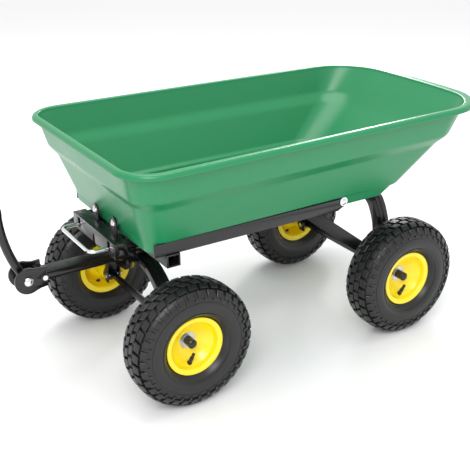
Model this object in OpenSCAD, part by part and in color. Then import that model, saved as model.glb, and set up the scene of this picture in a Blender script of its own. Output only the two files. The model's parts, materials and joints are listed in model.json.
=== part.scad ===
// Tow behind dump cart: a moulded tub on a tipping bed frame, carried by a
// chassis with a fixed rear axle and a steered front axle with a drawbar.
// Front (hitch) is -X, rear is +X, +Z is up, the ground is z = 0.
// The origin is on the ground under the middle of the overall length.

/* [Tub] */
// Length of the tub over its rolled lip
tub_length = 900; // [800:5:1000]
// Width over the lip at the front end
tub_front_width = 544; // [480:2:600]
// Width over the lip at the rear end
tub_rear_width = 496; // [440:2:540]
// Height of the tub from its floor to its lip
tub_height = 190; // [160:1:230]
// Thickness of the moulded wall
tub_wall = 3.5; // [2.5:0.5:6]
// Width of the rolled lip
lip_width = 14; // [10:1:24]
// How far the lip turns down
lip_drop = 11; // [8:1:16]
// Height of the tub floor's underside above the ground
floor_height = 318; // [315:1:340]

/* [Wheels] */
// Outer diameter of the tyres
tyre_diameter = 264; // [240:2:280]
// Width of the tyres
tyre_width = 85; // [70:1:95]
// Diameter of the steel rim over its flanges
rim_diameter = 124; // [116:1:140]
// Thickness of the pressed rim steel
rim_wall = 2.5; // [1.5:0.5:4]
// Diameter of the axle rods
axle_diameter = 16; // [12:0.5:20]
// Outer diameter of the wheel bearings
bearing_diameter = 35; // [30:1:42]
// Width of one wheel bearing
bearing_width = 11; // [8:1:14]

/* [Chassis] */
// Distance from the front axle to the rear axle
wheelbase = 544; // [500:2:640]
// Distance between the middles of the left and right tyres
track = 421; // [400:1:480]
// Width of the pressed steel channel of the axle arches
arch_width = 32; // [28:1:36]
// Thickness of the pressed steel
steel = 3; // [2:0.5:5]
// Width of the main beam
beam_width = 40; // [34:1:60]
// Diameter of the kingpin that the front axle steers on
kingpin_diameter = 12; // [10:1:16]
// Diameter of the rod that the bed tips on
pivot_diameter = 10; // [8:1:12]
// Width of the two axle braces
brace_width = 28; // [20:1:36]

/* [Drawbar] */
// Width of the drawbar tube
tongue_width = 32; // [28:1:44]
// Distance from the front axle to the hitch pin
hitch_reach = 246; // [220:2:300]
// Radius of the round ears of the yoke
ear_radius = 27; // [22:1:32]
// Thickness of each yoke ear
ear_thickness = 6; // [4:0.5:8]
// Diameter of the hitch pin
hitch_pin_diameter = 12; // [10:1:16]

/* [Pull handle] */
// Diameter of the handle tube
handle_tube = 18; // [16:1:22]
// Height of the curved lower part of the handle tube
handle_rise = 148; // [120:1:180]
// Length of the straight upper part of the handle tube
handle_length = 400; // [300:5:500]
// Lean of the straight part forward from upright
handle_lean = 45; // [30:1:60]
// Width of the handle loop over its grip
grip_width = 130; // [110:1:150]

/* [Bed] */
// Length of the two bed rails
rail_length = 455; // [400:5:500]
// Height of the rails' upright flange
rail_height = 25.5; // [20:0.5:32]
// Width of the rails' flat flange
rail_flange = 40; // [30:1:45]
// Width of the chrome release handle
release_width = 155; // [120:1:180]
// How far the release handle stands out of the front bracket
release_reach = 44; // [36:1:60]
// Diameter of the release handle rod
release_rod = 8; // [6:0.5:10]

/* [Fits] */
// Radial running clearance of every turning joint
run_fit = 0.05; // [0.02:0.01:0.1]
// Radial clearance of bolts in their holes
bolt_fit = 0.2; // [0.1:0.05:0.5]
// Gap between flat faces that move past each other
face_gap = 0.5; // [0.3:0.1:1]

/* [Hidden] */
$fn = 48;
eps = 0.01;

// Colours of the finishes
green = [0.12, 0.50, 0.32];
black = [0.06, 0.06, 0.07];
rubber = [0.09, 0.09, 0.10];
yellow = [0.93, 0.80, 0.08];
chrome = [0.80, 0.80, 0.82];
zinc = [0.66, 0.67, 0.70];
nylon = [0.85, 0.85, 0.80];

// Places along X, measured from the middle of the wheelbase
front_x = -wheelbase / 2;
rear_x = wheelbase / 2;
tub_front_x = front_x - 130;
tub_rear_x = tub_front_x + tub_length;
hitch_x = front_x - hitch_reach;

// Heights of the wheels and of the front stack, from the ground up
wheel_r = tyre_diameter / 2;
axle_r = axle_diameter / 2;
floor_z = floor_height;
rim_z = floor_z + tub_height;
flange_thickness = 3.5;
flange_z = floor_z - flange_thickness;
channel_height = 26;
channel_z = flange_z - channel_height;
pad_thickness = 4;
beam_top = channel_z - pad_thickness - 0.3;
beam_height = 21.5;
beam_z = beam_top - beam_height;
washer_thickness = 4;
turntable_height = 8;
arch_front_top = beam_z - washer_thickness - turntable_height;
tongue_height = 18;
tongue_z = beam_z - 3.7 - tongue_height;
hitch_z = tongue_z + tongue_height / 2 - 1;

// The tipping pivot lies on top of the rear arch, just under the tub
pivot_r = pivot_diameter / 2;
pivot_tube_r = pivot_r + 3;
pivot_x = rear_x;
pivot_z = floor_z - 6.5;
arch_rear_top = pivot_z - pivot_tube_r - face_gap;
arm_thickness = 5;
arm_y = 64;

// Handle path: an arc up from the hub, then a straight shaft that leans forward
handle_arc_r = 300;
handle_bend_r = 30;
hub_r = 16;

// The model is built about the middle of the wheelbase and then shifted, so
// that the origin lies under the middle of the whole length
grip_r = 13;
grip_x = handle_end()[0];
overall_front = grip_x - grip_r;
middle_x = (overall_front + tub_rear_x) / 2;

module centred() {
    translate([-middle_x, 0, 0]) children();
}

module mirrored(side) {
    if (side > 0) children();
    else mirror([0, 1, 0]) children();
}

// ---------- general shapes ----------

// A cylinder along Y from y0 to y1
module rod_y(r, y0, y1) {
    translate([0, y0, 0]) rotate([-90, 0, 0]) cylinder(r = r, h = y1 - y0);
}

// A cylinder along X from x0 to x1
module rod_x(r, x0, x1) {
    translate([x0, 0, 0]) rotate([0, 90, 0]) cylinder(r = r, h = x1 - x0);
}

// A box from its lowest to its highest corner
module span(low, high) {
    translate(low) cube(high - low);
}

// An outline in the X-Z plane, made solid from y0 to y1
module slab_y(y0, y1) {
    translate([0, y1, 0]) rotate([90, 0, 0]) linear_extrude(y1 - y0) children();
}

// A hexagon head or nut, width across flats w, upward from z = 0
module hexagon(w, h) {
    cylinder(d = w / cos(30), h = h, $fn = 6);
}

// A bolt down along -Z: hexagon head on z = 0, shank of length l, nut at the end
module bolt(d, l, nut = true) {
    hexagon(1.6 * d, 0.6 * d);
    translate([0, 0, -l]) cylinder(d = d, h = l + eps);
    if (nut) {
        translate([0, 0, -l]) hexagon(1.6 * d, 0.8 * d);
    }
}

// A bolt with a domed head and a washer, outward along +Z
module dome_bolt(d, l) {
    cylinder(d = 2.4 * d, h = 1.2);
    translate([0, 0, 1.2]) intersection() {
        translate([0, 0, -0.9 * d]) sphere(r = 1.3 * d);
        cylinder(d = 1.8 * d, h = d);
    }
    translate([0, 0, -l]) cylinder(d = d, h = l + eps);
}

// ---------- tub ----------

// Half width of the tub at x when it is front_half at the front and rear_half at the rear
function taper(x, x0, x1, front_half, rear_half) =
    front_half + (rear_half - front_half) * (x - x0) / (x1 - x0);

arc_steps = 7;
rear_steps = 5;

function arc(cx, cy, r, start) =
    [for (i = [0:arc_steps]) [cx + r * cos(start + 90 * i / arc_steps), cy + r * sin(start + 90 * i / arc_steps)]];

// A ring of the tub: a tapered outline with round corners and a bowed rear
function outline(x0, x1, front_half, rear_half, front_r, rear_r) =
    let (
        front_c = x0 + front_r,
        rear_c = x1 - rear_r,
        front_y = taper(front_c, x0, x1, front_half, rear_half) - front_r,
        rear_y = taper(rear_c, x0, x1, front_half, rear_half) - rear_r
    )
    concat(
        arc(front_c, -front_y, front_r, 180),
        arc(rear_c, -rear_y, rear_r, 270),
        [for (i = [1:rear_steps]) [x1, -rear_y + 2 * rear_y * i / (rear_steps + 1)]],
        arc(rear_c, rear_y, rear_r, 0),
        arc(front_c, front_y, front_r, 90)
    );

function bowed(points, x1, rear_r, half, bow) =
    [for (p = points)
        let (t = max(0, min(1, (p[0] - x1 + rear_r) / rear_r)))
        [p[0] - bow * pow(p[1] / half, 2) * t, p[1]]];

// Levels of the wall from the floor up: share of the height, then how far the
// front, the rear and the front and rear half widths stand in from the lip's
// outer edge, and the front and rear corner radii
wall_levels = [
    [0.000, 71, 236, 91, 74, 24, 36],
    [0.115, 68, 192, 88, 70, 28, 54],
    [0.132, 66, 184, 78, 62, 46, 62],
    [0.558, 40, 90, 44, 40, 54, 74],
    [0.658, 26, 72, 28, 24, 56, 76],
    [0.984, lip_width - 3, lip_width + 8, lip_width, lip_width - 2, 60, 112]
];
rear_bow = 14;
least_corner = 6;

function wall_ring(level, inset, lift) =
    let (
        x0 = tub_front_x + level[1] + inset,
        x1 = tub_rear_x - level[2] - inset,
        half_f = tub_front_width / 2 - level[3] - inset,
        half_r = tub_rear_width / 2 - level[4] - inset,
        front_r = max(least_corner, level[5] - inset),
        rear_r = max(least_corner, level[6] - inset),
        z = floor_z + level[0] * tub_height + lift
    )
    [for (p = bowed(outline(x0, x1, half_f, half_r, front_r, rear_r), x1, rear_r, half_r, rear_bow))
        [p[0], p[1], z]];

function lip_ring(inset, drop) =
    let (
        x0 = tub_front_x + inset,
        x1 = tub_rear_x - inset,
        half_f = tub_front_width / 2 - inset,
        half_r = tub_rear_width / 2 - inset
    )
    [for (p = bowed(outline(x0, x1, half_f, half_r, 76 - inset, 126 - inset), x1, 126 - inset, half_r, rear_bow))
        [p[0], p[1], rim_z - drop]];

lift_levels = [1, 0.9, 1.0, 0.7, 0.7, 0];

// The middle of the floor is pressed up a little above the edge that lies on the rails
panel_inset = 40;
panel_rise = 3.2;

tub_rings = concat(
    [wall_ring(wall_levels[0], panel_inset, panel_rise), wall_ring(wall_levels[0], panel_inset - 4, 0)],
    [for (i = [0:5]) wall_ring(wall_levels[i], 0, i == 5 ? -0.5 : 0)],
    [
        lip_ring(tub_wall, tub_wall),
        lip_ring(tub_wall, lip_drop),
        lip_ring(0, lip_drop),
        lip_ring(0, 2),
        lip_ring(2, 0)
    ],
    [wall_ring(wall_levels[5], tub_wall - 1, 0.016 * tub_height)],
    [for (i = [5:-1:0]) wall_ring(wall_levels[i], tub_wall, lift_levels[i] * tub_wall)],
    [wall_ring(wall_levels[0], panel_inset - 3, tub_wall), wall_ring(wall_levels[0], panel_inset + 1, tub_wall + panel_rise)]
);

module loft(rings) {
    count = len(rings[0]);
    last = len(rings) - 1;
    sides = [for (r = [0:last - 1], i = [0:count - 1])
        let (j = (i + 1) % count, a = r * count, b = (r + 1) * count)
        each [[a + j, a + i, b + i], [a + j, b + i, b + j]]];
    caps = [
        [for (i = [0:count - 1]) i],
        [for (i = [count - 1:-1:0]) last * count + i]
    ];
    polyhedron([for (ring = rings) each ring], concat(sides, caps), 4);
}

module tub() color(green) centred() difference() {
    loft(tub_rings);
    for (y = bracket_bolt_y) translate([0, y, bracket_bolt_z]) rod_x(bolt_hole_r, tub_front_x, tub_front_x + 120);
    for (side = [-1, 1]) {
        mirrored(side) translate([side_bolt_x, 0, side_bolt_z]) rod_y(bolt_hole_r, rail_y - 40, rail_y);
        for (x = floor_bolt_x) translate([x, side * floor_bolt_y, 0])
            cylinder(r = bolt_hole_r, h = floor_z + 40);
    }
}

// ---------- bed frame ----------

rail_y = max(tub_front_width / 2 - 88, tub_rear_width / 2 - 70) + 0.6;
rail_front = front_x - 53;
rail_back = rail_front + rail_length;
bolt_d = 8;
bolt_hole_r = bolt_d / 2 + bolt_fit;
side_bolt_x = rail_back - 8;
side_bolt_z = floor_z + 15;
floor_bolt_x = [front_x - 14, 0];
floor_bolt_y = rail_y - 26;
front_channel_x = front_x - 29;
rear_channel_x = rail_back - 30;
channel_width = 29;

// Steel angle under and beside the tub; the upright flange is cut back at the rear
module bed_rail(side) color(black) centred() mirrored(side) difference() {
    union() {
        span([front_channel_x, rail_y - rail_flange + steel, flange_z], [rail_back - 22, rail_y + steel, floor_z]);
        slab_y(rail_y, rail_y + steel) polygon([
            [rail_front, flange_z],
            [rail_back - 22, flange_z],
            [rail_back, side_bolt_z - 8],
            [rail_back, side_bolt_z + 8],
            [rail_back - 3, flange_z + rail_height],
            [rail_front, flange_z + rail_height]
        ]);
    }
    translate([side_bolt_x, 0, side_bolt_z]) rod_y(bolt_hole_r, rail_y - 1, rail_y + steel + 1);
    for (x = floor_bolt_x) translate([x, floor_bolt_y, flange_z - 1]) cylinder(r = bolt_hole_r, h = 8);
}

// Square tube welded across under the rails; it rests over the main beam
module bed_front_channel() color(black) centred() difference() {
    span([front_channel_x, -rail_y - 5.8, channel_z], [front_channel_x + channel_width, rail_y + 5.8, flange_z]);
    span([front_channel_x + steel, -rail_y - 7, channel_z + steel],
         [front_channel_x + channel_width - steel, rail_y + 7, flange_z - steel]);
    for (y = [-floor_bolt_y, floor_bolt_y])
        translate([floor_bolt_x[0], y, channel_z - 1]) cylinder(r = bolt_hole_r, h = 40);
}

// Flat tube across under the rear ends of the rails
module bed_rear_channel() color(black) centred() difference() {
    span([rear_channel_x - 30, -rail_y + 30, flange_z - 16], [rear_channel_x, rail_y - 30, flange_z]);
    span([rear_channel_x - 30 + steel, -rail_y, flange_z - 16 + steel],
         [rear_channel_x - steel, rail_y, flange_z - steel]);
}

// Flat bar from the rear channel to the tipping pivot
module hinge_arm(side) color(black) centred() mirrored(side) difference() {
    arm_low = arch_rear_top + 0.8;
    union() {
        slab_y(arm_y, arm_y + arm_thickness) polygon([
            [rear_channel_x, flange_z - 14],
            [rear_channel_x, floor_z],
            [pivot_x - 14, floor_z],
            [pivot_x, pivot_z + pivot_tube_r],
            [pivot_x, arm_low],
            [rear_channel_x + 60, arm_low]
        ]);
        translate([pivot_x, 0, pivot_z]) rod_y(pivot_tube_r, arm_y, arm_y + arm_thickness);
    }
    translate([pivot_x, 0, pivot_z]) rod_y(pivot_r + bolt_fit, arm_y - 1, arm_y + arm_thickness + 1);
}

bracket_back = tub_front_x + 62;
bracket_front = bracket_back - 28;
bracket_half = 104;
bracket_top = floor_z + 3;
bracket_bolt_y = [-44, 44];
bracket_bolt_z = floor_z + 20;
rod_x0 = bracket_front + 13;
rod_z = floor_z - 15;

// Bracket across the front of the tub: a channel that holds the release
// handle, with two ears that are bolted to the tub's front wall
module front_bracket() color(black) centred() difference() {
    union() {
        span([bracket_front, -bracket_half, rod_z - 14], [bracket_front + steel, bracket_half, bracket_top]);
        span([bracket_front, -bracket_half, bracket_top - steel], [bracket_back, bracket_half, bracket_top]);
        for (side = [-1, 1]) mirrored(side)
            span([bracket_front, bracket_half - steel, rod_z - 14], [bracket_back, bracket_half, bracket_top]);
        for (y = bracket_bolt_y) {
            span([bracket_back - steel, y - 13, bracket_top - steel], [bracket_back, y + 13, bracket_bolt_z + 2]);
            translate([0, y, bracket_bolt_z + 2]) rod_x(13, bracket_back - steel, bracket_back);
        }
        // bed tie: two bars back to the front channel
        for (side = [-1, 1]) mirrored(side)
            span([bracket_back - steel, bracket_half - 34, rod_z - 6], [front_channel_x, bracket_half - 28, flange_z]);
        span([bracket_back - steel, -bracket_half, rod_z - 6], [bracket_back, bracket_half, bracket_top]);
    }
    translate([rod_x0, 0, rod_z])
        for (side = [-1, 1]) mirrored(side) rod_y(release_pin_r + run_fit, bracket_half - 5, bracket_half + 1);
    for (y = bracket_bolt_y) translate([0, y, bracket_bolt_z]) rod_x(bolt_hole_r, bracket_back - 9, bracket_back + 1);
    for (side = [-1, 1]) mirrored(side)
        span([bracket_front - 1, release_width / 2 - release_rod - 2, rod_z - 7],
             [bracket_front + steel + 1, release_width / 2 + 2, rod_z + 14.5]);
    // notch that the hook swings through
    span([bracket_front - 1, -hook_thickness / 2 - 1.5, rod_z - 15],
         [bracket_front + steel + 1, hook_thickness / 2 + 1.5, rod_z + 4]);
}

module bracket_bolts() color(chrome) centred() for (y = bracket_bolt_y)
    translate([bracket_back - steel, y, bracket_bolt_z]) rotate([0, -90, 0]) {
        dome_bolt(bolt_d, 22);
        translate([0, 0, -19.8]) hexagon(1.6 * bolt_d, 0.7 * bolt_d);
    }

module rail_side_bolts() color(chrome) centred() for (side = [-1, 1]) mirrored(side)
    translate([side_bolt_x, rail_y + steel, side_bolt_z]) rotate([-90, 0, 0]) {
        dome_bolt(bolt_d, 23);
        translate([0, 0, -20.4]) hexagon(1.6 * bolt_d, 0.7 * bolt_d);
    }

// Bolts down through the tub floor and the rail, with a washer and nut below
module rail_floor_bolts() color(chrome) centred() for (side = [-1, 1], i = [0, 1])
    translate([floor_bolt_x[i], side * floor_bolt_y, floor_z + tub_wall]) {
        length = i == 0 ? 42 : 19;
        cylinder(d = 16, h = 1.5);
        translate([0, 0, 1.5]) hexagon(1.6 * bolt_d, 0.6 * bolt_d);
        translate([0, 0, -length]) cylinder(d = bolt_d, h = length + eps);
        under = i == 0 ? -tub_wall - flange_thickness - channel_height : -tub_wall - flange_thickness;
        translate([0, 0, under - 1.5]) cylinder(d = 18, h = 1.5);
        translate([0, 0, under - 1.5 - 0.7 * bolt_d]) hexagon(1.6 * bolt_d, 0.7 * bolt_d);
    }

// ---------- release handle ----------

release_r = release_rod / 2;
release_corner = 14;

release_pin_r = release_r - 0.5;

// Round rod bent to a U; thinner pins turn outward into the bracket's end plates
module release_handle() color(chrome) centred() translate([rod_x0, 0, rod_z]) {
    reach = release_reach + rod_x0 - bracket_front - release_r;
    half = release_width / 2 - release_r;
    for (side = [-1, 1]) mirrored(side) {
        rod_y(release_pin_r, half - 1, bracket_half + 1.5);
        translate([0, half, 0]) rod_x(release_r, -(reach - release_corner) - 0.5, release_r);
        translate([-(reach - release_corner), half - release_corner, 0]) rotate([0, 0, 90])
            rotate_extrude(angle = 90) translate([release_corner, 0]) circle(r = release_r - 0.1);
    }
    translate([-reach, 0, 0]) rod_y(release_r, -half + release_corner - 0.5, half - release_corner + 0.5);
}

hook_drop = 28;
hook_thickness = 6;
hook_z = rod_z - hook_drop;
catch_x = front_x - 52;

// Hook plate on a cross tube between the release handle's legs; its nose
// stands against the catch plate of the main beam
module latch_hook() color(black) centred() translate([rod_x0, 0, rod_z]) {
    nose = catch_x - face_gap - rod_x0;
    slab_y(-hook_thickness / 2, hook_thickness / 2) polygon([
        [-8, 0],
        [8, 0],
        [8, -hook_drop + 10],
        [nose, -hook_drop + 8],
        [nose, -hook_drop],
        [-3, -hook_drop],
        [-8, -hook_drop + 6]
    ]);
    rod_y(9, -hook_thickness / 2, hook_thickness / 2);
    rod_y(cross_r, -release_width / 2 + release_rod, release_width / 2 - release_rod);
}

cross_r = 6;
spring_wire = 1.2;
spring_turns = 5;

// Torsion springs around the cross tube that hold the hook shut; each has a
// leg up to the bracket's top
module latch_springs() color(zinc) centred() for (side = [-1, 1]) mirrored(side)
    translate([rod_x0, 12, rod_z]) {
        for (i = [0:spring_turns - 1]) translate([0, i * 1.8 * spring_wire, 0]) rotate([90, 0, 0])
            rotate_extrude() translate([cross_r + spring_wire, 0]) circle(r = spring_wire, $fn = 16);
        translate([0, 0, cross_r + spring_wire])
            cylinder(r = 0.9 * spring_wire, h = bracket_top - steel - rod_z - cross_r - spring_wire - 0.3);
    }

// ---------- chassis ----------

// Arch centre line in the Y-Z plane: an upright leg, a long sweep, a short bend
// and a flat top. Points run from the foot of one leg to the middle of the top.
function arch_path(half, leg_z, sweep_r, sweep, bend_r, top_z) =
    let (
        sweep_y = half - sweep_r * (1 - cos(sweep)),
        sweep_z = top_z - bend_r * (1 - sin(sweep)),
        shift = sweep_z - sweep_r * sin(sweep)
    )
    concat(
        [[half, leg_z]],
        [for (i = [0:8]) let (a = sweep * i / 8) [half - sweep_r * (1 - cos(a)), shift + sweep_r * sin(a)]],
        [for (i = [1:8]) let (a = sweep + (90 - sweep) * i / 8)
            [sweep_y - bend_r * (cos(sweep) - cos(a)), sweep_z + bend_r * (sin(a) - sin(sweep))]]
    );

function unit(v) = v / norm(v);

// The path moved inward by a distance, and closed with the mirror of itself
function inward(path, d) =
    [for (i = [0:len(path) - 1])
        let (
            before = path[max(0, i - 1)],
            after = path[min(len(path) - 1, i + 1)],
            along = i == len(path) - 1 ? [-1, 0] : unit(after - before)
        )
        path[i] + d * [-along[1], along[0]]];

function full(path) = concat(path, [for (i = [len(path) - 1:-1:0]) [-path[i][0], path[i][1]]]);

module band(path, outer, inner) {
    a = full(inward(path, outer));
    b = full(inward(path, inner));
    polygon(concat(a, [for (i = [len(b) - 1:-1:0]) b[i]]));
}

module extrude_x(x0, x1) {
    translate([x0, 0, 0]) rotate([90, 0, 90]) linear_extrude(x1 - x0) children();
}

// Pressed channel bent to an arch, with two ribs along its outer face
module arch(path, depth) {
    extrude_x(-arch_width / 2, arch_width / 2) band(path, 0, steel);
    for (x = [-arch_width / 2, arch_width / 2 - steel]) extrude_x(x, x + steel) band(path, 0, depth);
    for (x = [-5.5, 5.5]) extrude_x(x - 1.6, x + 1.6) band(path, -1.2, eps);
}

arch_half = track / 2 - 59;
lock_y = arch_half - 9;
axle_boss_r = 15;
rear_path = arch_path(arch_half, wheel_r - 16, 140, 34, 45, arch_rear_top - 1.2);
front_path = arch_path(arch_half, wheel_r - 16, 120, 52, 150, arch_front_top - 1.2);

// Holes of the axle and of its lock bolts
module axle_holes(x) {
    translate([x, 0, wheel_r]) rod_y(axle_r + bolt_fit, -track, track);
    for (side = [-1, 1]) translate([x, side * lock_y, wheel_r]) rod_x(2.5 + bolt_fit, -arch_width, arch_width);
}

module rear_arch() color(black) centred() difference() {
    translate([rear_x, 0, 0]) arch(rear_path, 20);
    axle_holes(rear_x);
    for (y = saddle_bolt_y) translate([rear_x - arch_width / 2, y, saddle_bolt_z]) rod_x(4 + bolt_fit, -1, steel + 1);
}

module front_arch() color(black) centred() difference() {
    translate([front_x, 0, 0]) arch(front_path, 15);
    axle_holes(front_x);
    translate([front_x, 0, arch_front_top - 20]) cylinder(r = kingpin_diameter / 2 + bolt_fit, h = 30);
}

// Solid axle rod through both legs of the arch
axle_end = track / 2 + 13;
module axle(x) color(black) centred() difference() {
    translate([x, 0, wheel_r]) rod_y(axle_r - run_fit, -axle_end, axle_end);
    for (side = [-1, 1]) translate([x, side * lock_y, wheel_r]) rod_x(2.6, -20, 20);
}
module rear_axle() axle(rear_x);
module front_axle() axle(front_x);

// Cross bolts that lock the axle in the arch legs
module axle_bolts(x) color(chrome) centred() for (side = [-1, 1])
    translate([x - arch_width / 2, side * lock_y, wheel_r]) {
        rod_x(2.5, -0.1, arch_width + 4);
        rotate([0, -90, 0]) hexagon(9, 4);
        translate([arch_width, 0, 0]) rotate([0, 90, 0]) hexagon(9, 4);
    }
module rear_axle_bolts() axle_bolts(rear_x);
module front_axle_bolts() axle_bolts(front_x);

// Domed caps pressed on the axle ends, which keep the wheels on
module axle_caps(x) color(black) centred() for (side = [-1, 1]) mirrored(side)
    translate([x, 0, wheel_r]) difference() {
        union() {
            rod_y(axle_r + 1.5, hub_out + 0.6, axle_end + 4);
            translate([0, axle_end + 4, 0]) intersection() {
                translate([0, -7, 0]) sphere(r = 12);
                rod_y(axle_r + 1.5, -eps, 6);
            }
        }
        rod_y(axle_r - run_fit, 0, axle_end + 0.2);
    }
module rear_axle_caps() axle_caps(rear_x);
module front_axle_caps() axle_caps(front_x);

saddle_bolt_y = [-30, 30];
saddle_bolt_z = arch_rear_top - 12.5;
beam_front = catch_x + 18;
beam_back = rear_x - arch_width / 2;

// Rectangular tube from the kingpin to the rear arch, with a saddle plate at
// the rear and the latch's catch plate at the front
module main_beam() color(black) centred() difference() {
    union() {
        span([beam_front, -beam_width / 2, beam_z], [beam_back, beam_width / 2, beam_top]);
        span([beam_back - 6, -beam_width / 2 - 22, beam_z], [beam_back, beam_width / 2 + 22, arch_rear_top]);
        span([catch_x, -14, hook_z], [beam_front + eps, 14, hook_z + 6]);
        for (side = [-1, 1]) mirrored(side) brace_ear();
    }
    span([beam_front + steel, -beam_width / 2 + steel, beam_z + steel],
         [beam_back - 20, beam_width / 2 - steel, beam_top - steel]);
    translate([front_x, 0, beam_z - 1]) cylinder(r = kingpin_diameter / 2 + run_fit, h = steel + 2);
    for (y = saddle_bolt_y) translate([beam_back, y, saddle_bolt_z]) rod_x(4 + bolt_fit, -8, 1);
}

// Rubber pad that the bed frame rests on
module bed_pad() color(rubber) centred()
    span([front_channel_x, -beam_width / 2, beam_top], [front_channel_x + channel_width, beam_width / 2, beam_top + pad_thickness]);

brace_top = [rear_x - 150, beam_width / 2 + 2.5, beam_z + 6];
brace_foot = [rear_x - arch_width / 2 - 2.5, arch_half - 18, wheel_r + 26];

// Lug on the beam's side that the brace is welded to
module brace_ear() {
    translate([brace_top[0] - 12, beam_width / 2 - eps, beam_z]) cube([24, 4, 12]);
}

// Flat bar from the foot of the rear arch up to the main beam
module brace(side) color(black) centred() mirrored(side) {
    run = brace_foot - brace_top;
    flat = norm([run[0], run[1]]);
    heading = atan2(run[1], run[0]);
    slope = atan2(-run[2], flat);
    difference() {
        translate(brace_top) rotate([0, slope, heading])
            translate([-8, 0, -brace_width / 2]) cube([norm(run) + 30, 4, brace_width]);
        span([rear_x - arch_width / 2, 0, 0], [rear_x + 100, track, rim_z]);
        span([-wheelbase, -1, 0], [wheelbase, beam_width / 2 + 4, rim_z]);
    }
}

// Two short tubes welded on the rear arch, which the pivot rod turns in
module pivot_tubes() color(black) centred() for (side = [-1, 1]) mirrored(side)
    translate([pivot_x, 0, pivot_z]) difference() {
        union() {
            rod_y(pivot_tube_r, arm_y - 26, arm_y - face_gap);
            span([-pivot_tube_r, arm_y - 26, -pivot_tube_r - face_gap], [pivot_tube_r, arm_y - face_gap, 0]);
        }
        rod_y(pivot_r + run_fit, 0, arm_y + 10);
    }

module pivot_rod() color(zinc) centred() translate([pivot_x, 0, pivot_z]) difference() {
    rod_y(pivot_r, -arm_y - 16, arm_y + 16);
    for (side = [-1, 1]) translate([0, side * (arm_y + arm_thickness + 5), -20]) cylinder(r = 1.6, h = 40);
}

// Split pins and washers at the ends of the pivot rod
module pivot_pins() color(zinc) centred() for (side = [-1, 1]) mirrored(side)
    translate([pivot_x, 0, pivot_z]) {
        difference() {
            rod_y(pivot_tube_r, arm_y + arm_thickness + 0.4, arm_y + arm_thickness + 2.4);
            rod_y(pivot_r + 0.3, 0, arm_y + 20);
        }
        translate([0, arm_y + arm_thickness + 5, -8]) cylinder(r = 1.5, h = 15);
    }

module arch_bolts() color(zinc) centred() for (y = saddle_bolt_y)
    translate([beam_back - 6, y, saddle_bolt_z]) rotate([0, -90, 0]) {
        hexagon(13, 5);
        translate([0, 0, -18]) cylinder(d = 8, h = 18 + eps);
        translate([0, 0, -6 - steel - 6]) hexagon(13, 6);
    }

// ---------- front axle and drawbar ----------

// Bolt up through the arch, the drawbar and the main beam; nut inside the beam
module kingpin() color(zinc) centred() translate([front_x, 0, 0]) {
    nut_z = beam_z + steel + 0.4;
    head_z = arch_front_top - 1.2 - steel;
    translate([0, 0, head_z - 8]) hexagon(19, 8);
    translate([0, 0, head_z - eps]) cylinder(d = kingpin_diameter, h = beam_z + 14 - head_z);
    translate([0, 0, nut_z]) hexagon(19, 8);
}

// Round plate with flat sides, welded on the arch
module turntable() color(black) centred() translate([front_x, 0, arch_front_top]) difference() {
    intersection() {
        cylinder(d = 60, h = turntable_height);
        span([-arch_width / 2 + 0.3, -40, 0], [arch_width / 2 - 0.3, 40, turntable_height]);
    }
    translate([0, 0, -1]) cylinder(r = kingpin_diameter / 2 + bolt_fit, h = turntable_height + 2);
}

module thrust_washer() color(nylon) centred()
    translate([front_x, 0, arch_front_top + turntable_height]) difference() {
        cylinder(d = arch_width - 1, h = washer_thickness - 0.3);
        translate([0, 0, -1]) cylinder(r = kingpin_diameter / 2 + run_fit, h = 8);
    }

yoke_back = hitch_x + 39;

arch_face = front_x - arch_width / 2;
bracket_bolt_at = [arch_face - 12, tongue_z - 11];

// Drawbar: a flat rectangular tube from the yoke back to the front arch
module tongue() color(black) centred() difference() {
    span([yoke_back - 12, -tongue_width / 2, tongue_z], [arch_face, tongue_width / 2, tongue_z + tongue_height]);
    span([yoke_back - 13, -tongue_width / 2 + steel, tongue_z + steel],
         [arch_face + 1, tongue_width / 2 - steel, tongue_z + tongue_height - steel]);
    translate([yoke_bolt_x, 0, tongue_z + tongue_height / 2]) rod_y(3 + bolt_fit, -30, 30);
    translate([arch_face - 34, 0, tongue_z + tongue_height / 2]) rod_y(3 + bolt_fit, -30, 30);
}

// Two side plates that carry the drawbar on the face of the arch
module tongue_bracket() color(black) centred() difference() {
    for (side = [-1, 1]) mirrored(side) slab_y(tongue_width / 2 + 0.2, tongue_width / 2 + 0.2 + steel) polygon([
        [arch_face, tongue_z - 22],
        [arch_face - 24, tongue_z - 22],
        [arch_face - 46, tongue_z - 2],
        [arch_face - 46, tongue_z + tongue_height],
        [arch_face, tongue_z + tongue_height]
    ]);
    translate([bracket_bolt_at[0], 0, bracket_bolt_at[1]]) rod_y(4 + bolt_fit, -40, 40);
    translate([arch_face - 34, 0, tongue_z + tongue_height / 2]) rod_y(3 + bolt_fit, -30, 30);
}

yoke_bolt_x = yoke_back - 6;
ear_in = tongue_width / 2;
ear_out = ear_in + ear_thickness;

module yoke_profile() {
    translate([hitch_x, hitch_z]) circle(r = ear_radius);
    polygon([
        [hitch_x + 5, hitch_z + ear_radius - 1],
        [hitch_x + 22, hitch_z + ear_radius - 5],
        [yoke_back, hitch_z + ear_radius - 4],
        [yoke_back, hitch_z - ear_radius + 9],
        [hitch_x + 24, hitch_z - ear_radius + 7],
        [hitch_x + 5, hitch_z - ear_radius + 1]
    ]);
}

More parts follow.
